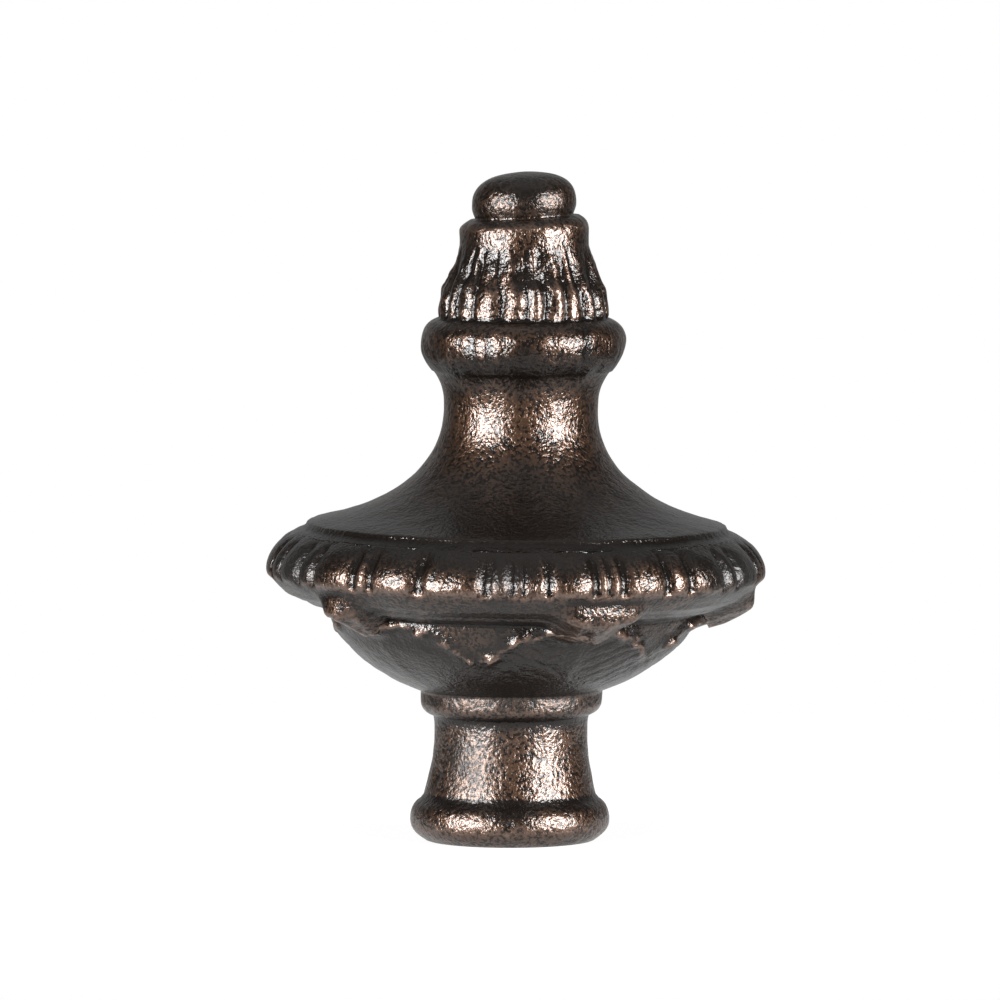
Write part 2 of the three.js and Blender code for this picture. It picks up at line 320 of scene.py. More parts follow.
@dataclass(frozen=True)
class LeafCarving:
    """The leaves round the bowl, with lumpy rolled edges, faint midribs, veins and curled tips.

    Depths, heights and sizes are in millimetres. A share is of the bowl's height where it says no other.

    Attributes:
        profile: The corners of the profile.
        leaves: The leaves, in order round the axis.
        notch_share: How far up the bowl the notches between the leaves come down to.
        notch_rounding: How far the notches are rounded, as a share of half a leaf.
        edge_power: How narrow the notches are.
        field_depth: How deep the field between the leaves is sunk.
        field_slope: The share over which it sinks.
        edge: How high the beads of the rolled edge stand.
        edge_share: The half width of the rolled edge.
        edge_wander: How far that edge wanders up and down.
        least_roll: How high it is between the beads, beside a bead.
        plain_notch: The notch that was cast plain, in degrees round from the front.
        plain_reach: How far it is plain to each side, in degrees.
        plain_loss: The share of the beads that is lost there.
        bead: The size of the beads.
        bead_from: The lumps, from -1 to 1, between which a bead comes up.
        crumb: The size of the crumbs among the beads.
        crumb_from: The lumps between which a crumb comes up.
        crumb_part: How high a crumb is, beside a bead.
        hollow: How deep a leaf is hollowed behind its edge.
        midrib: How high the midrib is.
        midrib_share: Its half width, as a share of half a leaf.
        vein: How deep the veins are.
        vein_gap: From one vein to the next.
        vein_rise: How far a vein climbs from the midrib to the leaf's side.
        vein_wander: How far the veins wander, in gaps.
        vein_ends: How far inside the edge they begin and have their full depth.
        tip_out: How far a curled tip stands out.
        tip_flare_from: The share from which it curls out.
        tip_ends: Where it ends, as shares of the way from the bowl to the rim.
        tip_lump: How high the lumps on it are.
        tip_crumb: How high the crumbs on it are, beside those lumps.
        mouldings: The fine mouldings under the rim: the share of the way from the bowl to the rim, the half
            width as such a share, and the height.
        bare_edge: How much of the glaze was rubbed off the beads.
        bare_tip: How much of it was rubbed off the tips.
        bare_field: How much of it was rubbed off the field.
        bead_seed: The seed of the beads and the veins.
        crumb_seed: The seed of the crumbs.
        wander_seed: The seed of the edge's wandering.
        tip_seed: The seed of the lumps on the tips.
    """

    profile: Profile
    leaves: tuple[Leaf, ...] = (
        Leaf(-97.0, -47.0, 0.14, 0.15),
        Leaf(-11.0, 22.0, 0.32, 1.0),
        Leaf(53.0, 91.0, 0.22, 0.6),
        Leaf(128.0, 162.0, 0.24, 0.8),
        Leaf(196.0, 229.0, 0.2, 0.5),
    )
    notch_share: float = 0.43
    notch_rounding: float = 0.1
    edge_power: float = 2.4
    field_depth: float = 0.15
    field_slope: float = 0.16
    edge: float = 0.34
    edge_share: float = 0.065
    edge_wander: float = 0.05
    least_roll: float = 0.1
    plain_notch: float = -95.0
    plain_reach: float = 24.0
    plain_loss: float = 0.9
    bead: float = 0.8
    bead_from: Span = (-0.05, 0.45)
    crumb: float = 0.45
    crumb_from: Span = (0.0, 0.6)
    crumb_part: float = 0.4
    hollow: float = 0.08
    midrib: float = 0.05
    midrib_share: float = 0.07
    vein: float = 0.06
    vein_gap: float = 0.15
    vein_rise: float = 0.5
    vein_wander: float = 0.3
    vein_ends: Span = (0.08, 0.2)
    tip_out: float = 1.1
    tip_flare_from: float = 0.72
    tip_ends: Span = (0.7, 0.97)
    tip_lump: float = 0.28
    tip_crumb: float = 0.5
    mouldings: tuple[tuple[float, float, float], ...] = (
        (0.3, 0.05, 0.06),
        (0.42, 0.04, -0.06),
        (0.7, 0.06, 0.06),
    )
    bare_edge: float = 1.3
    bare_tip: float = 0.7
    bare_field: float = 0.4
    bead_seed: int = 21
    crumb_seed: int = 22
    wander_seed: int = 23
    tip_seed: int = 24

    def across(self, angle: Array) -> tuple[Array, Array]:
        """Finds where on which leaf each angle lies.

        Args:
            angle: Angles round the axis, in radians.

        Returns:
            The place across the leaf, from -1 in one notch through 0 at the tip to 1, and the leaf's number.
        """
        marks = [mark for leaf in self.leaves for mark in (leaf.notch, leaf.tip)]
        degrees = (np.degrees(angle) - marks[0]) % 360.0 + marks[0]
        phase = np.interp(degrees, (*marks, marks[0] + 360.0), np.arange(-1.0, len(marks)))
        number = np.minimum((phase + 1.0) // 2.0, len(self.leaves) - 1)
        return phase - 2.0 * number, number.astype(int)

    def lumps(self, at: Places, size: float, seed: int) -> Array:
        """Seeded lumps over the bowl, of a size in millimetres."""
        return at.lumps(self.profile.bowl_top[0], size, seed)

    def curl(self, angle: Array) -> Array:
        """How far a curled tip stands out at each angle, from 0 to 1."""
        across, number = self.across(angle)
        return bump(across / np.array([leaf.tip_share for leaf in self.leaves])[number], 1.0, 4)

    def share_up(self, height: Array) -> Array:
        """How far up the bowl each height is, from 0 to 1."""
        low = self.profile.bowl_foot[1]
        return (height - low) / (self.profile.bowl_top[1] - low)

    def flare(self, at: Places) -> Array:
        """How far the curled tips stand out of the bowl at each place, from 0 to 1."""
        return self.curl(at.angle) * ease(self.share_up(at.height), self.tip_flare_from, 1.0)

    def plain(self, angle: Array) -> Array:
        """How near each angle is to the notch that was cast plain, from 0 to 1."""
        return bump(shorter_way(np.degrees(angle) - self.plain_notch), self.plain_reach)

    def edges(self, at: Places) -> tuple[Array, Array]:
        """Finds the leaves' edges.

        Args:
            at: Places on the bowl.

        Returns:
            How far inside its leaf each place lies, as a share of the bowl's height, and how much of a
            bead of the rolled edge there is, from 0 up.
        """
        share = self.share_up(at.height)
        across, _ = self.across(at.angle)
        side = np.maximum(0.0, 1.0 - np.hypot(1.0 - np.abs(across), self.notch_rounding))
        edge = 1.0 - (1.0 - self.notch_share) * side**self.edge_power
        inside = edge + self.edge_wander * self.lumps(at, self.bead, self.wander_seed) - share
        beads = ease(self.lumps(at, self.bead, self.bead_seed), *self.bead_from)
        crumbs = ease(self.lumps(at, self.crumb, self.crumb_seed), *self.crumb_from)
        kept = 1.0 - self.plain_loss * self.plain(at.angle)
        beaded = (self.least_roll + beads + self.crumb_part * crumbs) * kept
        roll = bump(inside - self.edge_share / 2, self.edge_share) * ease(share, 0.0, self.notch_share)
        return inside, roll * beaded

    def veins(self, at: Places, inside: Array) -> Array:
        """Carves the veins beside the midribs.

        Args:
            at: Places on the bowl.
            inside: How far inside its leaf each place lies.

        Returns:
            Millimetres outwards, 0 or less.
        """
        across, number = self.across(at.angle)
        side = np.abs(across)
        wander = self.vein_wander * self.lumps(at, self.bead, self.bead_seed)
        gaps = (self.share_up(at.height) - self.vein_rise * side) / self.vein_gap + wander
        veined = np.array([leaf.veined for leaf in self.leaves])[number]
        cuts = -self.vein * np.maximum(0.0, np.cos(TURN * gaps)) ** 3 * veined
        return cuts * ease(side, self.midrib_share, 3 * self.midrib_share) * ease(inside, *self.vein_ends)

    def relief(self, at: Places) -> Array:
        """Carves the leaves.

        Args:
            at: Places on the bowl.

        Returns:
            Millimetres outwards.
        """
        across, _ = self.across(at.angle)
        inside, rolled = self.edges(at)
        sunk = -self.field_depth * ease(-inside, 0.0, self.field_slope) * (1.0 - self.plain(at.angle))
        behind = -self.hollow * bump(inside - 3.0 * self.edge_share, 1.5 * self.edge_share)
        rib = self.midrib * bump(across, self.midrib_share)
        body = (behind + rib + self.veins(at, inside)) * ease(self.share_up(at.height), 0.0, self.notch_share)
        lumpy = self.tip_out + self.tip_lump * self.lumps(at, self.bead, self.tip_seed)
        return self.flare(at) * lumpy + self.edge * rolled + np.where(inside < 0.0, sunk, body)

    def bare(self, at: Places) -> Array:
        """Finds where the glaze was rubbed off the beads, the tips and the field.

        Args:
            at: Places on the bowl.

        Returns:
            A share from 0 to 1.
        """
        inside, rolled = self.edges(at)
        open_field = ease(-inside, 0.0, self.field_slope)
        rubbed = self.bare_edge * rolled + self.bare_tip * self.flare(at) + self.bare_field * open_field
        return np.clip(rubbed, 0.0, 1.0)

    def tip_share(self, at: Places) -> Array:
        """How far each place under the rim belongs to a curled tip, from 0 to 1."""
        return self.curl(at.angle) * (1.0 - ease(at.along, *self.tip_ends))

    def tip_relief(self, at: Places) -> Array:
        """Carves the curled tips and the fine mouldings under the rim.

        Args:
            at: Places on the underside of the rim.

        Returns:
            Millimetres outwards.
        """
        tip = self.tip_share(at)
        lines = sum(height * bump(at.along - place, half) for place, half, height in self.mouldings)
        crumbs = self.tip_crumb * self.lumps(at, self.crumb, self.crumb_seed)
        lumpy = self.tip_out + self.tip_lump * (self.lumps(at, self.bead, self.tip_seed) + crumbs)
        return lumpy * tip + lines * (1.0 - tip)

    def tip_bare(self, at: Places) -> Array:
        """Where the glaze was rubbed off the curled tips, from 0 to 1."""
        return self.bare_tip * self.tip_share(at)


@dataclass(frozen=True)
class Run:
    """Evenly spaced places round the axis, in degrees from the front towards +X."""

    first: float
    step: float
    count: int

    def places(self) -> Array:
        """The places in order."""
        return self.first + self.step * np.arange(self.count)


@dataclass(frozen=True)
class Cut:
    """One cut line down the rim, with its place and half width in degrees and its depth in millimetres."""

    angle: float
    half: float = 1.2
    depth: float = 0.3


@dataclass(frozen=True)
class RimCarving:
    """The rim's swelling panels, parted by cut lines with narrow reeds between them.

    Angles are in degrees, depths and heights in millimetres. A share along is from the rim's foot to its top.

    Attributes:
        front: The cut lines in front, which the casting left uneven.
        right: The middles of the pairs of cut lines on the right side and behind.
        left: The middles of the pairs on the left side and behind.
        reed_half: The half width of the reed between a pair.
        cut_floor: The share of a cut line's half width that is its floor.
        cut_wall: The share of it from which the panel swells.
        swell: How far a panel swells.
        swell_reach: How far from a cut line it has swollen fully.
        fade_ends: The shares over which the carving fades at the rim's foot and at its top.
        shallow_between: The shares along between which the cut lines become shallower.
        shallow_loss: The share of their depth that is lost there.
        crease_at: Where the crease in one panel is.
        crease: How high it stands.
        crease_half: Its half width.
        crease_between: The shares along between which it comes up.
        ridge_between: The angles between which a low ridge runs round the rim.
        ridge: How high it stands.
        ridge_along: How far up the rim it runs.
        ridge_half: Its half width, as a share along.
        ridge_fade: How far before and after its ends it fades.
    """

    front: tuple[Cut, ...] = (
        Cut(-61.0),
        Cut(-54.5),
        Cut(-41.0, 1.6),
        Cut(-36.0, 1.5),
        Cut(-23.2, 2.4, 0.34),
        Cut(-7.0, 2.2, 0.34),
        Cut(-0.6, 1.9),
        Cut(2.0),
        Cut(4.2, 0.8, 0.18),
        Cut(7.6, 1.4),
        Cut(19.0, 1.4),
        Cut(22.2, 1.0, 0.22),
        Cut(26.0, 1.8),
        Cut(38.0, 1.7, 0.34),
        Cut(45.0, 1.6),
        Cut(57.5),
        Cut(63.5),
    )
    right: Run = Run(80.0, 19.0, 6)
    left: Run = Run(-75.1, -17.4, 7)
    reed_half: float = 3.2
    cut_floor: float = 0.2
    cut_wall: float = 0.6
    swell: float = 0.16
    swell_reach: float = 4.5
    fade_ends: Span = (0.15, 0.3)
    shallow_between: Span = (0.55, 0.95)
    shallow_loss: float = 0.6
    crease_at: float = 16.3
    crease: float = 0.1
    crease_half: float = 0.5
    crease_between: Span = (0.5, 0.75)
    ridge_between: Span = (25.5, 36.5)
    ridge: float = 0.09
    ridge_along: float = 0.9
    ridge_half: float = 0.04
    ridge_fade: float = 1.0

    def cuts(self) -> tuple[Cut, ...]:
        """All cut lines round the rim.

        Returns:
            The uneven ones in front, and then the pairs on both sides and behind.
        """
        middles = np.concatenate((self.right.places(), self.left.places()))
        pairs = (Cut(place + side) for place in middles for side in (-self.reed_half, self.reed_half))
        return (*self.front, *pairs)

    def relief(self, at: Places) -> Array:
        """Carves the panels and reeds.

        Args:
            at: Places on the rim.

        Returns:
            Millimetres outwards.
        """
        degrees = np.degrees(at.angle)
        sunk = np.zeros_like(degrees)
        clear = np.full_like(degrees, self.swell_reach)
        for cut in self.cuts():
            away = np.abs(shorter_way(degrees - cut.angle))
            sunk = np.maximum(sunk, cut.depth * (1.0 - ease(away, self.cut_floor * cut.half, cut.half)))
            clear = np.minimum(clear, np.maximum(0.0, away - self.cut_wall * cut.half))
        panel = self.swell * np.sin(math.pi / 2 * clear / self.swell_reach)
        fade = ease(at.along, 0.0, self.fade_ends[0]) * ease(1.0 - at.along, 0.0, self.fade_ends[1])
        deep = 1.0 - self.shallow_loss * ease(at.along, *self.shallow_between)
        crease = self.crease * bump(degrees - self.crease_at, self.crease_half)
        crease = crease * ease(at.along, *self.crease_between)
        start, end = self.ridge_between
        begun = ease(degrees, start - self.ridge_fade, start + self.ridge_fade)
        ended = ease(degrees, end - self.ridge_fade, end + self.ridge_fade)
        ridge = self.ridge * begun * (1.0 - ended) * bump(at.along - self.ridge_along, self.ridge_half)
        return fade * (panel - sunk * deep + crease + ridge)


@dataclass(frozen=True)
class BellCarving:
    """The bell's ribs, which swell into tongues below, and the gadroons on the ring under it.

    Depths, heights and sizes are in millimetres. A share up is of the bell's height.

    Attributes:
        profile: The corners of the profile.
        ribs: How many ribs there are.
        first: The angle of one rib, in degrees from the front towards +X.
        wander: How far the ribs wander to the side, in radians.
        wander_size: The size of a bend in a wandering rib.
        flute_depth: How deep the flutes between the ribs are.
        tongue_crest: How high a tongue stands.
        tongue_rounding: How far a tongue's sides fall away.
        tongue_ends: The shares up between which a tongue turns into its rib.
        uneven_rounding: How unequal the tongues' sides are, as a share.
        uneven_depth: How unequal the flutes are, as a share.
        uneven_rise: How unequal in height the tongues are, as a share up.
        dip_at: The share up where each tongue dips.
        dip: How deep the dip is.
        dip_half: Its half height, as a share up.
        gadroon_depth: How deep the cut lines on the ring are.
        line_share: The half width of a cut line, as a share of half a rib.
        lump: The size of the lumps on the bell.
        ring_lump: The size of the lumps on the ring.
        lumpiness: How high the lumps are.
        bell_fade: The share up over which the bell's lumps fade at its top.
        ring_fade: The share of the ring's upper half over which its lumps fade.
        seed: The seed of the ribs. The lumps of the bell and of the ring have the next two.
    """

    profile: Profile
    ribs: int = 22
    first: float = 5.0
    wander: float = 0.1
    wander_size: float = 2.0
    flute_depth: float = 0.28
    tongue_crest: float = 0.05
    tongue_rounding: float = 0.34
    tongue_ends: Span = (0.3, 0.8)
    uneven_rounding: float = 0.35
    uneven_depth: float = 0.6
    uneven_rise: float = 0.1
    dip_at: float = 0.6
    dip: float = 0.06
    dip_half: float = 0.1
    gadroon_depth: float = 0.07
    line_share: float = 0.2
    lump: float = 0.8
    ring_lump: float = 1.2
    lumpiness: float = 0.09
    bell_fade: float = 0.3
    ring_fade: float = 0.4
    seed: int = 41

    def lumps(self, at: Places, size: float, seed: int) -> Array:
        """Seeded lumps over the bell and the ring, of a size in millimetres."""
        return at.lumps(self.profile.bell_foot[0], size, seed)

    def relief(self, at: Places) -> Array:
        """Carves the ribs, flutes and tongues.

        Args:
            at: Places on the bell.

        Returns:
            Millimetres outwards.
        """
        low = self.profile.bell_foot[1]
        share = (at.height - low) / (self.profile.bell_top[1] - low)
        angle = at.angle + self.wander * self.lumps(at, self.wander_size, self.seed)
        off_rib, number = off_mark(angle, self.ribs, self.first)
        across = np.abs(off_rib)
        uneven = np.random.default_rng(self.seed).uniform(-1.0, 1.0, (3, self.ribs))
        rounder, later, deeper = uneven[:, number]
        rounding = self.tongue_rounding * (1.0 + self.uneven_rounding * rounder)
        tongue = self.tongue_crest - rounding * across**2
        depth = self.flute_depth * (1.0 + self.uneven_depth * deeper)
        flute = -depth * (1.0 - (1.0 - across) ** 2) * np.sqrt(np.maximum(0.0, 1.0 - share))
        rise = share + self.uneven_rise * later
        dip = -self.dip * bump(rise - self.dip_at, self.dip_half)
        lumps = self.lumpiness * self.lumps(at, self.lump, self.seed + 1)
        rough = lumps * ease(1.0 - share, 0.0, self.bell_fade)
        return tongue + (flute - tongue) * ease(rise, *self.tongue_ends) + dip + rough

    def ring_lumps(self, at: Places) -> Array:
        """Height of the lumps on the ring at each place."""
        return self.lumpiness * self.lumps(at, self.ring_lump, self.seed + 2)

    def gadroon_relief(self, at: Places) -> Array:
        """Carves the cut lines and the lumps on the lower half of the ring.

        Args:
            at: Places on the lower half of the ring.

        Returns:
            Millimetres outwards.
        """
        across, _ = off_mark(at.angle, self.ribs, self.first)
        lines = -self.gadroon_depth * np.sin(math.pi * at.along) * bump(across, self.line_share)
        return lines + self.ring_lumps(at)

    def ring_relief(self, at: Places) -> Array:
        """Height of the lumps on the upper half of the ring at each place."""
        return self.ring_lumps(at) * ease(1.0 - at.along, 0.0, self.ring_fade)


@dataclass(frozen=True)
class Spot:
    """A small place where the casting differs: a pit, a scratch, a dull patch or a darker patch of glaze and
    painted shade.

    Attributes:
        angle: Where it is round the axis, in degrees from the front towards +X.
        height: Where it is above the foot, in millimetres.
        reach: Its half width round the axis and its half height, in millimetres.
        depth: How deep it is, in millimetres.
        slope: How far it climbs for each millimetre round the axis.
        glaze_and_shade: How much darker it is painted, as glaze and painted shade, from 0 to 1.
        dull: How much of its gloss was lost, from 0 to 1.
    """

    angle: float
    height: float
    reach: tuple[float, float]
    depth: float = 0.0
    slope: float = 0.0
    # darker paint of glaze and painted shade
    glaze_and_shade: float = 0.0
    dull: float = 0.0

    def share(self, angle: Array, places: Array) -> Array:
        """How far each place belongs to the spot, from 0 to 1.

        Args:
            angle: The angle of each column.
            places: Points in millimetres, as rows, columns and coordinates.

        Returns:
            One value for each point, by rows and columns.
        """
        off = shorter_way(np.degrees(angle) - self.angle)
        round_mm = np.radians(off) * np.hypot(places[..., 0], places[..., 1])
        up_mm = places[..., 2] - self.height - self.slope * round_mm
        return bump(round_mm, self.reach[0]) * bump(up_mm, self.reach[1])


@dataclass(frozen=True)
class CastSkin:
    """The uneven skin of a casting: soft lumps of several sizes, and a few spots.

    Attributes:
        lumps: The size and the height of each kind of lump, in millimetres.
        flat_below: The heights between which the skin leaves the flat underside, in millimetres.
        spots: The spots.
    """

    lumps: tuple[tuple[float, float], ...] = ((2.6, 0.04), (1.1, 0.026), (0.5, 0.012))
    flat_below: Span = (0.05, 0.5)
    spots: tuple[Spot, ...] = (
        Spot(-64.0, 4.45, (0.45, 0.5), depth=0.16),
        Spot(3.5, 6.75, (0.55, 0.07), depth=0.08, slope=0.5),
        Spot(-1.0, 1.55, (0.3, 0.35), depth=0.16),
        # The darker paint of these spots is painted shade: on the stem's left, the foot's front, the rim's
        # sides and middle, the gaps on the ring, the bell's left side and middle and the button's top, where
        # less light falls. Their dull is real roughness.
        Spot(-32.0, 5.2, (2.2, 2.4), dull=0.9, glaze_and_shade=0.3),
        Spot(-2.0, 2.0, (1.3, 0.8), glaze_and_shade=0.4),
        Spot(-66.0, 18.6, (4.0, 2.2), glaze_and_shade=0.7, dull=0.8),
        Spot(-3.0, 18.6, (1.7, 2.0), glaze_and_shade=0.4, dull=0.6),
        Spot(66.0, 18.6, (4.0, 2.2), glaze_and_shade=0.7, dull=0.8),
        Spot(-30.0, 33.1, (0.35, 0.9), depth=0.07, glaze_and_shade=0.6),
        Spot(-20.0, 33.1, (0.3, 0.9), depth=0.06, glaze_and_shade=0.6),
        Spot(1.0, 33.1, (0.8, 0.9), depth=0.07, glaze_and_shade=0.35),
        Spot(39.0, 33.1, (0.4, 0.9), depth=0.07, glaze_and_shade=0.6),
        Spot(-58.0, 37.2, (2.0, 2.6), glaze_and_shade=0.5),
        Spot(8.0, 37.6, (1.6, 1.3), glaze_and_shade=0.5),
        Spot(62.0, 37.0, (1.6, 2.6), glaze_and_shade=0.5),
        Spot(-24.0, 38.7, (1.2, 0.8), glaze_and_shade=0.5),
        Spot(0.0, 43.2, (1.2, 0.9), glaze_and_shade=0.4),
        Spot(-28.0, 42.6, (1.3, 0.7), dull=0.6),
        Spot(32.0, 42.6, (1.3, 0.7), dull=0.7),
        Spot(-28.0, 9.6, (3.0, 0.8), dull=0.9),
        Spot(30.0, 9.6, (3.0, 0.8), dull=0.8),
    )

    def relief(self, places: Array, angle: Array) -> Array:
        """Height of the skin over the carved form at each place.

        Args:
            places: Points in millimetres, as rows, columns and coordinates.
            angle: The angle of each column.

        Returns:
            Millimetres outwards, by rows and columns.
        """
        total = np.zeros(places.shape[:2])
        for seed, (wavelength, size) in enumerate(self.lumps, start=1):
            total += size * Unevenness(seed).at(places, wavelength)
        for spot in self.spots:
            total -= spot.depth * spot.share(angle, places)
        return total * ease(places[..., 2], *self.flat_below)

    def marks(self, places: Array, angle: Array) -> tuple[Array, Array]:
        """What the spots change in the finish.

        Args:
            places: Points in millimetres, as rows, columns and coordinates.
            angle: The angle of each column.

        Returns:
            How much glaze and painted shade they add and how dull they are, by rows and columns.
        """
        glaze_and_shade = np.zeros(places.shape[:2])
        dull = np.zeros(places.shape[:2])
        for spot in self.spots:
            share = spot.share(angle, places)
            glaze_and_shade += spot.glaze_and_shade * share
            dull += spot.dull * share
        return glaze_and_shade, dull


@dataclass(frozen=True)
class Stage:
    """A run of the profile whose rows all have the same number of columns.

    Attributes:
        columns: How many columns there are.
        sweeps: The stretches of the profile, in order.
        skin: How much of the cast skin it has, from 0 to 1.
    """

    columns: int
    sweeps: tuple[Sweep, ...]
    skin: float = 1.0


@dataclass
class FinialCasting:
    """The whole finial as one closed mesh that takes the place of the solid casting.

    Attributes:
        name: The piece's name.
        node: The solid that it stands for.
        profile: The corners of its profile.
        skin: The uneven skin of the casting.
        bend_shift: How far its axis bends towards +X, in millimetres.
        bend_between: The heights between which it bends.
        rim_dip: How far the rim dips towards +X, in degrees.
        rim_dip_at: The height where it dips most.
        rim_dip_reach: How far above and below that it still dips.
        top_tilt: How far the top rises towards +X, in degrees.
        top_tilt_between: The heights between which that tilt comes in.
    """

    name: str = "finial_carved"
    node: str = "finial_casting"
    profile: Profile = field(default_factory=Profile)
    skin: CastSkin = field(default_factory=CastSkin)
    bend_shift: float = 0.96
    bend_between: Span = (2.0, 41.0)
    rim_dip: float = 0.8
    rim_dip_at: float = 18.5
    rim_dip_reach: float = 5.0
    top_tilt: float = 3.0
    top_tilt_between: Span = (40.0, 41.4)

    def socket(self) -> Stage:
        """The blind hole in the underside, from its point to its mouth.

        Returns:
            Its stretches, without the cast skin.
        """
        p = self.profile
        sweeps = (
            Sweep(p.socket_point, p.socket_end, 4),
            Sweep(p.socket_end, p.socket_lip, 44, relief=SocketThread().relief),
            Sweep(p.socket_lip, p.socket_mouth, 2),
        )
        return Stage(72, sweeps, skin=0.0)

    def foot(self) -> Stage:
        """The ring foot, the waisted stem and the collar.

        Returns:
            Its stretches, from the socket's mouth to the collar's top.
        """
        p = self.profile
        sweeps = (
            Sweep(p.socket_mouth, p.foot_edge, 5),
            # The glaze laid here is painted shade: darkest in the crease above the foot and in the crease
            # under the collar, lightest on the foot ring's bulge.
            Sweep(p.foot_edge, p.foot_widest, 8, 35.0, Heading.UP, glaze_and_shade=(0.4, 0.1)),
            Sweep(p.foot_widest, p.foot_top, 8, Heading.UP, 150.0, glaze_and_shade=(0.1, 0.6)),
            Sweep(p.foot_top, p.stem_foot, 3, glaze_and_shade=(0.9, 0.9)),
            Sweep(p.stem_foot, p.stem_waist, 20, 103.0, Heading.UP, glaze_and_shade=(0.2, 0.25)),
            Sweep(p.stem_waist, p.collar_foot, 4, Heading.UP, 75.0, glaze_and_shade=(0.3, 0.9)),
            Sweep(p.collar_foot, p.collar_band, 7, 20.0, Heading.UP, glaze_and_shade=(0.7, 0.4)),
            Sweep(p.collar_band, p.collar_top, 4, glaze_and_shade=(0.4, 0.5)),
        )
        return Stage(176, sweeps)

    def bowl(self) -> Stage:
        """The bowl with its leaves, the underside of the rim and the rim.

        Returns:
            Its stretches, from the collar to the rim's top.
        """
        p = self.profile
        leaf = LeafCarving(p)
        sweeps = (
            # The glaze laid here is painted shade: dark on the bowl under the overhanging rim and under the
            # rim, light on the rim's lower half that faces the softboxes and dark on its upward-facing top.
            Sweep(p.bowl_foot, p.bowl_top, 56, 20.0, 80.0, 0.3, leaf.relief, (0.8, 0.9), leaf.bare),
            Sweep(p.bowl_top, p.rim_foot, 24, 22.0, 50.0, 0.38, leaf.tip_relief, (0.8, 0.5), leaf.tip_bare),
            Sweep(p.rim_foot, p.rim_top, 24, 50.0, 145.0, relief=RimCarving().relief, glaze_and_shade=(0.1, 0.9)),
        )
        return Stage(440, sweeps)

    def neck(self) -> Stage:
        """The lip of the rim and the shoulder that sweeps into the neck.

        Returns:
            Its stretches, from the rim's top to the ring.
        """
        p = self.profile
        sweeps = (
            # The glaze laid here is painted shade: dark on the lip and the upward-facing shoulder, light on
            # the neck's waist that faces the softboxes, darker again under the ring.
            Sweep(p.rim_top, p.lip_edge, 7, 150.0, 105.0, glaze_and_shade=(0.9, 0.9)),
            Sweep(p.lip_edge, p.lip, 4, 105.0, 164.0, glaze_and_shade=(0.9, 0.9)),
            Sweep(p.lip, p.shoulder, 8, 164.0, 163.0, glaze_and_shade=(0.9, 0.9)),
            Sweep(p.shoulder, p.neck, 30, 163.0, Heading.UP, glaze_and_shade=(0.85, 0.1)),
            Sweep(p.neck, p.neck_top, 12, Heading.UP, 50.0, glaze_and_shade=(0.1, 0.6)),
        )
        return Stage(200, sweeps)

    def bell(self) -> Stage:
        """The gadrooned ring, the ribbed bell and the plain band.

        Returns:
            Its stretches, from the neck to the button's seat.
        """
        p = self.profile
        ribs = BellCarving(p)
        sweeps = (
            # The glaze laid on the ring is painted shade, darkest on its underside and in the crease at the
            # bell's foot; the seat under the button is painted darker towards it.
            Sweep(p.ring_foot, p.ring_widest, 14, 50.0, Heading.UP, 0.38, ribs.gadroon_relief, (0.9, 0.3)),
            Sweep(p.ring_widest, p.bell_foot, 14, Heading.UP, 165.0, 0.38, ribs.ring_relief, (0.2, 0.5)),
            Sweep(p.bell_foot, p.bell_top, 36, 88.0, 104.0, 0.45, ribs.relief),
            Sweep(p.bell_top, p.band_top, 5),
            Sweep(p.band_top, p.button_seat, 7, 95.0, 150.0, glaze_and_shade=(0.3, 0.5)),
        )
        return Stage(264, sweeps)

    def button(self) -> Stage:
        """The button on top.

        Returns:
            Its stretches, from its seat to the top.
        """
        p = self.profile
        sweeps = (
            # The glaze and painted shade laid on the button grow darker towards its top.
            Sweep(p.button_foot, p.button_widest, 7, 70.0, Heading.UP, glaze_and_shade=(0.5, 0.4)),
            Sweep(p.button_widest, p.button_top, 18, Heading.UP, Heading.IN, 0.42, glaze_and_shade=(0.4, 0.6)),
        )
        return Stage(132, sweeps)

    def rows_of(self, stage: Stage) -> tuple[Array, dict[Mark, Array]]:
        """Works out the corners of one stage.

        Args:
            stage: The stage.

        Returns:
            Its corners in millimetres, as rows, columns and coordinates, and the marks that its finish
            follows, by rows and columns.
        """
        angle = TURN * np.arange(stage.columns) / stage.columns
        blocks = []
        glaze_and_shade_rows = []
        dulls = []
        for number, sweep in enumerate(stage.sweeps):
            first = 1 if number else 0
            along, place, out = (values[first:] for values in sweep.stations())
            at = Places(angle[None, :], along[:, None], place[:, 1:2])
            relief = sweep.relief(at) if sweep.relief else np.zeros((len(place), 1))
            carved = self.placed(place, out, relief, angle)
            lumps = stage.skin * self.skin.relief(carved, angle)
            glaze_and_shade, dull = self.skin.marks(carved, angle)
            # Each sweep's glaze and painted shade, less where it was rubbed.
            laid_glaze_and_shade = sweep.glaze_and_shade[0] + (sweep.glaze_and_shade[1] - sweep.glaze_and_shade[0]) * at.along
            bare = sweep.bare(at) if sweep.bare else 0.0
            blocks.append(self.placed(place, out, relief + lumps, angle))
            glaze_and_shade_rows.append(glaze_and_shade + laid_glaze_and_shade * (1.0 - bare))
            dulls.append(dull)
        rows = np.concatenate(blocks)
        marks = {
            Mark.GLAZE_AND_SHADE: np.concatenate(glaze_and_shade_rows),
            Mark.DULL: np.concatenate(dulls),
            Mark.HOLLOW: self.hollowness(rows),
        }
        return rows, marks

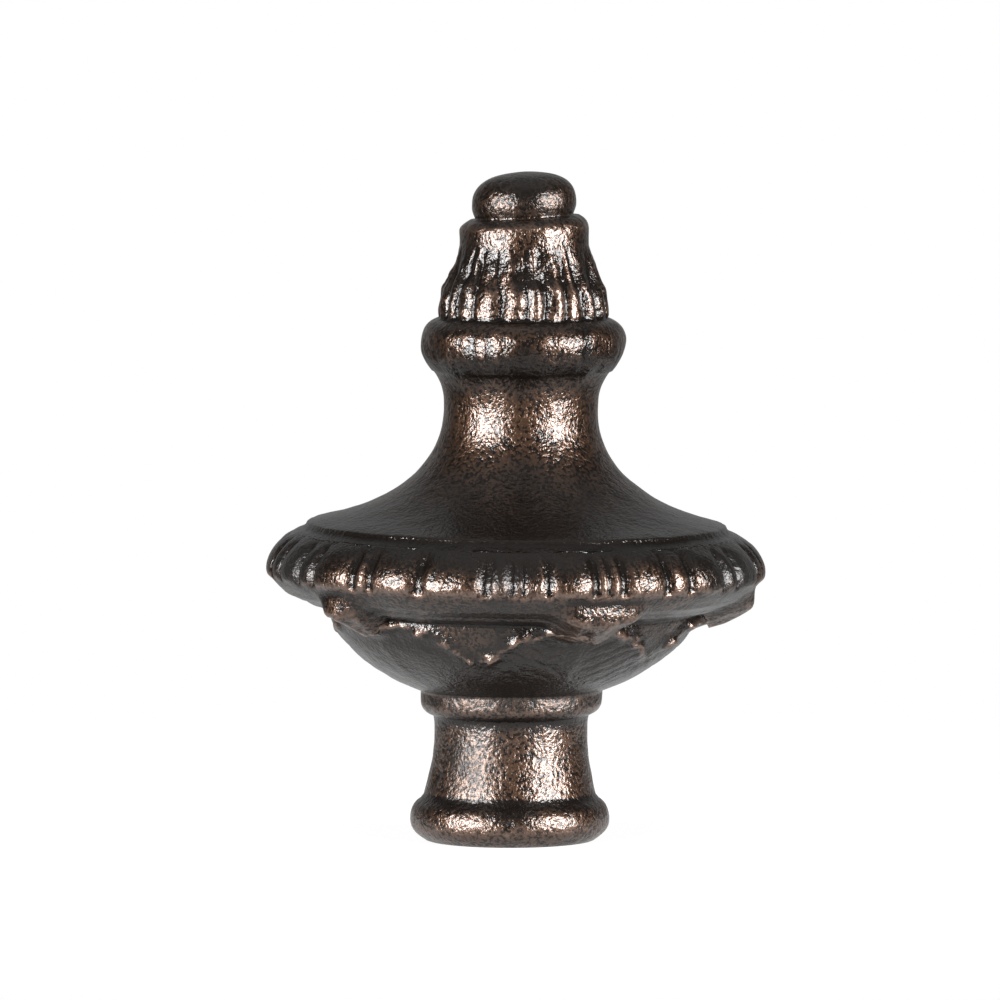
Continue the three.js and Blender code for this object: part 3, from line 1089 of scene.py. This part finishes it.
    def placed(self, place: Array, out: Array, relief: Array, angle: Array) -> Array:
        """Turns stations of the profile round the axis, with their relief.

        Args:
            place: Radius and height of each row.
            out: Outward direction of each row.
            relief: Millimetres outwards, by rows and columns.
            angle: The angle of each column.

        Returns:
            Corners in millimetres, as rows, columns and coordinates.
        """
        radius = np.maximum(place[:, 0:1] + out[:, 0:1] * relief, 0.0)
        height = place[:, 1:2] + out[:, 1:2] * relief
        radius, height = np.broadcast_arrays(radius, height + 0.0 * angle)
        return np.stack((radius * np.sin(angle), -radius * np.cos(angle), height), axis=-1)

    def settled(self, corners: Array) -> Array:
        """Bends and tilts the upright form, as the real casting stands.

        Args:
            corners: Corners of the upright form, in millimetres.

        Returns:
            The corners where they end up.
        """
        x, y, z = corners[:, 0], corners[:, 1], corners[:, 2]
        dip = math.tan(math.radians(self.rim_dip)) * bump(z - self.rim_dip_at, self.rim_dip_reach, 4)
        rise = math.tan(math.radians(self.top_tilt)) * ease(z, *self.top_tilt_between)
        shift = self.bend_shift * ease(z, *self.bend_between)
        return np.column_stack((x + shift, y, z + (rise - dip) * x))

    @staticmethod
    def hollowness(rows: Array, reach: int = 2, full: float = 2.5, least: float = 0.05) -> Array:
        """How hollow the surface is at each corner, from -1 on an edge to 1 in a groove.

        Args:
            rows: Corners of one stage in millimetres.
            reach: How many rows and columns away the surface is compared.
            full: The curvature that counts as a full edge or groove, per millimetre.
            least: The shortest distance over which it is measured, in millimetres.

        Returns:
            One value for each corner, by rows and columns.
        """
        padded = np.concatenate((rows[:1].repeat(reach, 0), rows, rows[-1:].repeat(reach, 0)))
        below, above = padded[: -2 * reach], padded[2 * reach :]
        left, right = np.roll(rows, reach, 1), np.roll(rows, -reach, 1)
        normal = np.cross(right - left, above - below)
        normal /= np.maximum(np.linalg.norm(normal, axis=-1, keepdims=True), NO_LENGTH)
        curvature = np.zeros(rows.shape[:2])
        for before, after in ((left, right), (below, above)):
            sag = (((before + after) / 2 - rows) * normal).sum(-1)
            half = np.maximum(np.linalg.norm(after - before, axis=-1) / 2, least)
            curvature += 2.0 * sag / half**2
        return np.clip(curvature / full, -1.0, 1.0)

    def build(self) -> bpy.types.Object:
        """Makes the mesh.

        Returns:
            The finished object, with its marks kept in vertex attributes.
        """
        corners: list[Array] = []
        marks: dict[Mark, list[Array]] = {mark: [] for mark in Mark}
        faces: list[tuple[int, ...]] = []
        last_ring: Array | None = None
        count = 0
        for stage in (self.socket(), self.foot(), self.bowl(), self.neck(), self.bell(), self.button()):
            rows, stage_marks = self.rows_of(stage)
            for number, ring in enumerate(rows):
                size = 1 if np.hypot(ring[:, 0], ring[:, 1]).max() < ON_AXIS else len(ring)
                corners.append(ring[:size])
                for mark, values in stage_marks.items():
                    marks[mark].append(values[number, :size])
                index = count + np.arange(size)
                count += size
                if last_ring is not None:
                    faces += zipped(last_ring, index)
                last_ring = index
        mesh = bpy.data.meshes.new(self.name)
        mesh.from_pydata((self.settled(np.concatenate(corners)) * MM).tolist(), [], faces)
        for mark, values in marks.items():
            attribute = mesh.attributes.new(mark.value, "FLOAT", "POINT")
            attribute.data.foreach_set("value", np.concatenate(values))
        mesh.validate()
        mesh.shade_smooth()
        piece = bpy.data.objects.new(self.name, mesh)
        bpy.context.scene.collection.objects.link(piece)
        return piece

    def dress(self, piece: bpy.types.Object, finish: "AntiqueBronze") -> None:
        """Gives the piece its finish and ties it to the frame.

        Args:
            piece: The object that was built.
            finish: Its finish.
        """
        piece.data.materials.append(finish.material())
        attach(piece, "root")
        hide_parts(self.node)


def zipped(lower: Array, upper: Array) -> list[tuple[int, ...]]:
    """Faces between two rings of corners that may differ in number.

    Args:
        lower: The first ring's corner numbers, in order round the axis.
        upper: The next ring's corner numbers.

    Returns:
        Quads where the rings match, else triangles.
    """
    low_count, up_count = len(lower), len(upper)
    if low_count == up_count:
        ahead_low, ahead_up = np.roll(lower, -1), np.roll(upper, -1)
        return list(zip(lower.tolist(), ahead_low.tolist(), ahead_up.tolist(), upper.tolist()))
    faces = []
    i = j = 0
    while i < low_count or j < up_count:
        low, up = int(lower[i % low_count]), int(upper[j % up_count])
        if j >= up_count or (i < low_count and (i + 0.5) * up_count <= (j + 0.5) * low_count):
            if low_count > 1:
                faces.append((low, int(lower[(i + 1) % low_count]), up))
            i += 1
        else:
            if up_count > 1:
                faces.append((low, int(upper[(j + 1) % up_count]), up))
            j += 1
    return faces


class Wire:
    """A socket of a shader graph that does arithmetic: each operation adds a Math node."""

    def __init__(self, graph: "Graph", socket: bpy.types.NodeSocket) -> None:
        """Keeps the graph and the socket."""
        self.graph = graph
        self.socket = socket

    def math(self, operation: str, *others: Any, clamp: bool = False) -> "Wire":
        """Adds a Math node.

        Args:
            operation: The node's operation.
            others: The other operands, as wires or numbers.
            clamp: Whether the result is held between 0 and 1.

        Returns:
            The node's result.
        """
        return self.graph.add("ShaderNodeMath", {"operation": operation, "use_clamp": clamp}, (self, *others))

    def __add__(self, other: Any) -> "Wire":
        """The sum."""
        return self.math("ADD", other)

    __radd__ = __add__

    def __sub__(self, other: Any) -> "Wire":
        """The difference."""
        return self.math("SUBTRACT", other)

    def __rsub__(self, other: float) -> "Wire":
        """The difference from a number."""
        return self.graph.add("ShaderNodeMath", {"operation": "SUBTRACT"}, (other, self))

    def __mul__(self, other: Any) -> "Wire":
        """The product."""
        return self.math("MULTIPLY", other)

    __rmul__ = __mul__

    def clamped(self) -> "Wire":
        """The value held between 0 and 1."""
        return self.math("ADD", 0.0, clamp=True)

    def between(self, low: float, high: float) -> "Wire":
        """A smooth step.

        Args:
            low: The value where it is 0.
            high: The value where it is 1.

        Returns:
            The step, from 0 to 1.
        """
        settings = {"interpolation_type": "SMOOTHSTEP"}
        sockets = {"Value": self, "From Min": low, "From Max": high}
        return self.graph.add("ShaderNodeMapRange", settings, sockets)


class Graph:
    """A node tree that is written as expressions."""

    def __init__(self, tree: bpy.types.NodeTree) -> None:
        """Empties the tree."""
        self.tree = tree
        tree.nodes.clear()

    def node(self, kind: str, settings: Settings = None, sockets: Any = ()) -> bpy.types.Node:
        """Adds a node.

        Args:
            kind: The node's type.
            settings: Its own settings, which are set first.
            sockets: Wires or values for its inputs, by name or in order.

        Returns:
            The node.
        """
        node = self.tree.nodes.new(kind)
        for name, value in (settings or {}).items():
            setattr(node, name, value)
        pairs = sockets.items() if isinstance(sockets, dict) else enumerate(sockets)
        for key, value in pairs:
            if isinstance(value, Wire):
                self.tree.links.new(value.socket, node.inputs[key])
            else:
                node.inputs[key].default_value = value
        return node

    def add(self, kind: str, settings: Settings = None, sockets: Any = (), output: Any = 0) -> Wire:
        """Adds a node and gives one of its outputs as a wire."""
        return Wire(self, self.node(kind, settings, sockets).outputs[output])

    def mix(self, share: Wire | float, first: Any, second: Any) -> Wire:
        """Mixes two colours.

        Args:
            share: How much of the second there is, from 0 to 1.
            first: A colour or a wire.
            second: A colour or a wire.

        Returns:
            The mixed colour.
        """
        settings = {"data_type": "RGBA"}
        sides = [side if isinstance(side, Wire) else (*side, 1.0) for side in (first, second)]
        return self.add("ShaderNodeMix", settings, {0: share, 6: sides[0], 7: sides[1]}, 2)

    def noise(self, place: Wire, size: float, detail: float) -> Wire:
        """Noise over a surface, in lumps of about one size in metres."""
        return self.add("ShaderNodeTexNoise", {}, {"Vector": place, "Scale": 1 / size, "Detail": detail})


@dataclass(frozen=True)
class AntiqueBronze:
    """Rough bronze pigment under a wrinkled lacquer, with black glaze in specks and in the hollows, and black
    painted shade on the undersides, tops and creases that the glaze mark covers.

    Attributes:
        slot: The record's material slot.
        bronze: The pigment where it is bare.
        rubbed: The bright metal on rubbed edges.
        glaze_and_shade: The black of the glaze and of the painted shade.
        grain: The size of the specks and the finest wrinkles, in metres.
        wrinkle: The size of the larger wrinkles, in metres.
        mottle: The size of the soft patches, in metres.
        wrinkle_height: The height of the finest wrinkles, in metres.
        wrinkle_parts: The heights of the larger wrinkles and the soft patches, beside the finest wrinkles.
        sunk_between: The hollowness between which a hollow fills with glaze.
        worn_between: The sharpness between which an edge becomes rubbed.
        patch_between: The thickness between which the glaze closes into a patch.
        mottling: How much the soft patches change that thickness.
        wear: How much of the glaze is lost on a rubbed edge.
        rubbing: How much bright metal shows on a rubbed edge.
        speck_parts: How much the grain and the larger wrinkles count towards the specks.
        speck_between: The noise between which a speck of glaze ends.
        speck_cover: How much of the pigment a speck covers.
        pigment_roughness: The roughness of the pigment.
        lacquer_roughness: The roughness of the lacquer.
        dull_roughness: How much rougher the lacquer is on a dull spot.
        lacquer_share: How much of the light comes from the lacquer.
        lacquer_losses: How much of that share is lost on a patch, which darkens the painted shade further, on
            a speck and in a hollow.
    """

    slot: str = "antique_bronze"
    bronze: Colour = (0.112, 0.058, 0.033)
    rubbed: Colour = (0.35, 0.24, 0.19)
    glaze_and_shade: Colour = (0.008, 0.006, 0.005)
    grain: float = 0.00023
    wrinkle: float = 0.0006
    mottle: float = 0.0018
    wrinkle_height: float = 0.00007
    wrinkle_parts: Span = (1.1, 0.6)
    sunk_between: Span = (0.15, 0.7)
    worn_between: Span = (0.25, 0.8)
    # patch_between: The level of glaze and painted shade between which it closes into a black patch.
    patch_between: Span = (0.1, 0.9)
    # mottling: How much the soft patches change that level.
    mottling: float = 0.8
    wear: float = 0.5
    rubbing: float = 0.6
    speck_parts: Span = (0.75, 0.25)
    speck_between: Span = (0.4, 0.54)
    speck_cover: float = 0.95
    pigment_roughness: float = 0.42
    lacquer_roughness: float = 0.17
    dull_roughness: float = 0.3
    lacquer_share: float = 0.5
    lacquer_losses: tuple[float, float, float] = (0.12, 0.22, 0.1)

    def material(self) -> bpy.types.Material:
        """Makes the material.

        Returns:
            A material whose colour, gloss and fine relief follow the marks on the piece.
        """
        material = bpy.data.materials.new(self.slot)
        material.use_nodes = True
        g = Graph(material.node_tree)
        place = g.add("ShaderNodeTexCoord", output="Object")
        # The glaze mark brings dark glaze together with painted shade from the mesh.
        glaze_and_shade_mark = g.add("ShaderNodeAttribute", {"attribute_name": Mark.GLAZE_AND_SHADE.value}, output="Fac")
        dull = g.add("ShaderNodeAttribute", {"attribute_name": Mark.DULL.value}, output="Fac")
        hollow = g.add("ShaderNodeAttribute", {"attribute_name": Mark.HOLLOW.value}, output="Fac")
        mottle = g.noise(place, self.mottle, 4.0)
        wrinkle = g.noise(place, self.wrinkle, 2.0)
        grain = g.noise(place, self.grain, 2.0)
        sunk = hollow.between(*self.sunk_between)
        worn = (hollow * -1.0).between(*self.worn_between) * (1 - glaze_and_shade_mark).clamped()
        # Glaze, mottling and hollows, less rubbing; the mark's painted shade comes through here into black
        # patches.
        glaze_and_shade_level = glaze_and_shade_mark + (mottle - 0.5) * self.mottling + sunk - worn * self.wear
        patch = glaze_and_shade_level.between(*self.patch_between)
        speck_noise = grain * self.speck_parts[0] + wrinkle * self.speck_parts[1]
        speck = 1 - speck_noise.between(*self.speck_between)
        glaze_and_shade_cover = (patch + speck * self.speck_cover * (1 - worn * self.wear)).clamped()
        bare = g.mix(worn * self.rubbing, self.bronze, self.rubbed)
        height = grain + wrinkle * self.wrinkle_parts[0] + mottle * self.wrinkle_parts[1]
        relief = {"Height": height, "Distance": self.wrinkle_height, "Strength": 1.0}
        normal = g.add("ShaderNodeBump", {}, relief)
        pigment = {
            "Base Color": g.mix(glaze_and_shade_cover, bare, self.glaze_and_shade),
            "Metallic": 1.0,
            "Roughness": self.pigment_roughness,
            "Normal": normal,
        }
        lacquer = {
            "Base Color": (*self.glaze_and_shade, 1.0),
            "Roughness": self.lacquer_roughness + dull * self.dull_roughness,
            "Specular IOR Level": 1.0,
            "Normal": normal,
        }
        coats = [g.add("ShaderNodeBsdfPrincipled", {}, sockets) for sockets in (pigment, lacquer)]
        on_patch, on_speck, in_hollow = self.lacquer_losses
        # Less lacquer on the patches darkens the painted shade further.
        share = self.lacquer_share - patch * on_patch - speck * on_speck * (1 - patch) - sunk * in_hollow
        surface = g.add("ShaderNodeMixShader", {}, (share, *coats))
        g.node("ShaderNodeOutputMaterial", {}, (surface,))
        return material


class Side(Enum):
    """Where a softbox stands, as degrees round the finial from the front towards +X."""

    LEFT = -50.0
    RIGHT = 56.0


@dataclass
class Studio:
    """A pale floor, a white surround that is dark in front, two softboxes and the camera.

    Attributes:
        aim: The point that the picture is centred on, in millimetres.
        distance: From the camera to that point, in millimetres.
        elevation: Of the camera above the horizon, in degrees.
        field_width: The width of the picture at that point, in millimetres.
        sensor: The width of the camera's sensor, in millimetres.
        clip: The nearest and the farthest that the camera sees, in metres.
        floor_size: The side of the floor, in metres.
        floor_fade: The distances from the axis between which the floor fades away, in metres.
        floor_colour: The floor's colour.
        floor_roughness: The floor's roughness.
        floor_glow: How much light the floor gives off.
        box_distance: From the axis to a softbox, in millimetres.
        box_height: Of a softbox above the floor, in millimetres.
        box_size: The width and the height of a softbox, in millimetres.
        box_radiance: How bright a softbox is.
        surround: How bright the surround is behind the finial.
        behind: Between which directions it brightens to that, from 0 at the side to 1 straight behind.
        ceiling: How bright the surround is above.
        above: Between which directions it changes to that, from 0 at the side to 1 straight above.
        front: How bright the surround is in front.
    """

    aim: tuple[float, float, float] = (-0.66, 0.0, 22.6)
    distance: float = 700.0
    elevation: float = 4.6
    field_width: float = 66.4
    sensor: float = 36.0
    clip: Span = (0.01, 100.0)
    floor_size: float = 0.4
    floor_fade: Span = (0.03, 0.09)
    floor_colour: Colour = (0.15, 0.15, 0.15)
    floor_roughness: float = 0.9
    floor_glow: float = 0.85
    box_distance: float = 420.0
    box_height: float = 90.0
    box_size: tuple[float, float] = (240.0, 220.0)
    box_radiance: float = 34.0
    surround: float = 0.45
    behind: Span = (0.5, 0.95)
    ceiling: float = 0.5
    above: Span = (0.6, 1.0)
    front: float = 0.03

    def camera(self) -> None:
        """Sets the camera at the photo's viewing angle."""
        data = bpy.data.cameras.new("camera")
        data.sensor_width = self.sensor
        data.lens = self.sensor * self.distance / self.field_width
        data.clip_start, data.clip_end = self.clip
        camera = bpy.data.objects.new("camera", data)
        tilt = math.radians(self.elevation)
        away = Vector((0.0, -math.cos(tilt), math.sin(tilt))) * self.distance
        camera.location = (Vector(self.aim) + away) * MM
        camera.rotation_euler = (math.pi / 2 - tilt, 0.0, 0.0)
        bpy.context.scene.collection.objects.link(camera)
        bpy.context.scene.camera = camera

    def floor(self) -> None:
        """Lays the floor under the foot."""
        half = self.floor_size / 2
        mesh = bpy.data.meshes.new("floor")
        corners = [(-half, -half, 0.0), (half, -half, 0.0), (half, half, 0.0), (-half, half, 0.0)]
        mesh.from_pydata(corners, [], [(0, 1, 2, 3)])
        floor = bpy.data.objects.new("floor", mesh)
        bpy.context.scene.collection.objects.link(floor)
        material = bpy.data.materials.new("pale_floor")
        material.use_nodes = True
        g = Graph(material.node_tree)
        place = g.add("ShaderNodeTexCoord", output="Object")
        away = g.add("ShaderNodeVectorMath", {"operation": "LENGTH"}, (place,), "Value")
        sockets = {
            "Base Color": (*self.floor_colour, 1.0),
            "Roughness": self.floor_roughness,
            "Alpha": 1 - away.between(*self.floor_fade),
            "Emission Color": WHITE,
            "Emission Strength": self.floor_glow,
        }
        g.node("ShaderNodeOutputMaterial", {}, (g.add("ShaderNodeBsdfPrincipled", {}, sockets),))
        mesh.materials.append(material)

    def softbox(self, side: Side) -> None:
        """Sets one softbox beside the camera, turned to the finial.

        Args:
            side: The side that it stands on.
        """
        data = bpy.data.lights.new(f"softbox_{side.name.lower()}", "AREA")
        data.shape = "RECTANGLE"
        data.size = self.box_size[0] * MM
        data.size_y = self.box_size[1] * MM
        data.energy = self.box_radiance * math.pi * data.size * data.size_y
        light = bpy.data.objects.new(data.name, data)
        angle = math.radians(side.value)
        place = Vector((math.sin(angle), -math.cos(angle), 0.0)) * self.box_distance
        light.location = (place + Vector((0.0, 0.0, self.box_height))) * MM
        toward = Vector(self.aim) * MM - light.location
        light.rotation_euler = toward.to_track_quat("-Z", "Y").to_euler()
        light.visible_camera = False
        bpy.context.scene.collection.objects.link(light)

    def world(self) -> None:
        """Makes the surround: white to the camera, white behind the finial and dark in front of it."""
        world = bpy.data.worlds.new("surround")
        world.use_nodes = True
        bpy.context.scene.world = world
        g = Graph(world.node_tree)
        direction = g.add("ShaderNodeTexCoord", output="Generated")
        parts = g.node("ShaderNodeSeparateXYZ", {}, (direction,))
        behind = Wire(g, parts.outputs["Y"]).between(*self.behind)
        high = Wire(g, parts.outputs["Z"]).between(*self.above)
        seen = g.add("ShaderNodeLightPath", output="Is Camera Ray")
        glow = behind * (1 - high) * (self.surround - self.front) + high * self.ceiling + self.front
        strength = glow + (1 - glow) * seen
        background = g.add("ShaderNodeBackground", {}, {"Color": WHITE, "Strength": strength})
        g.node("ShaderNodeOutputWorld", {}, (background,))

    def build(self) -> None:
        """Sets up the camera, the floor, the lights and the surround."""
        self.camera()
        self.floor()
        for side in Side:
            self.softbox(side)
        self.world()
        view = bpy.context.scene.view_settings
        view.view_transform = "Standard"
        view.look = "None"


def main() -> None:
    """Builds the studio and the finial, and reports what was made."""
    logging.basicConfig(level=logging.INFO, format="%(name)s: %(message)s")
    Studio().build()
    log.info("studio ready")
    casting = FinialCasting()
    piece = casting.build()
    casting.dress(piece, AntiqueBronze())
    log.info("%s: %d corners, %d faces", piece.name, len(piece.data.vertices), len(piece.data.polygons))


if __name__ == "__main__":
    main()
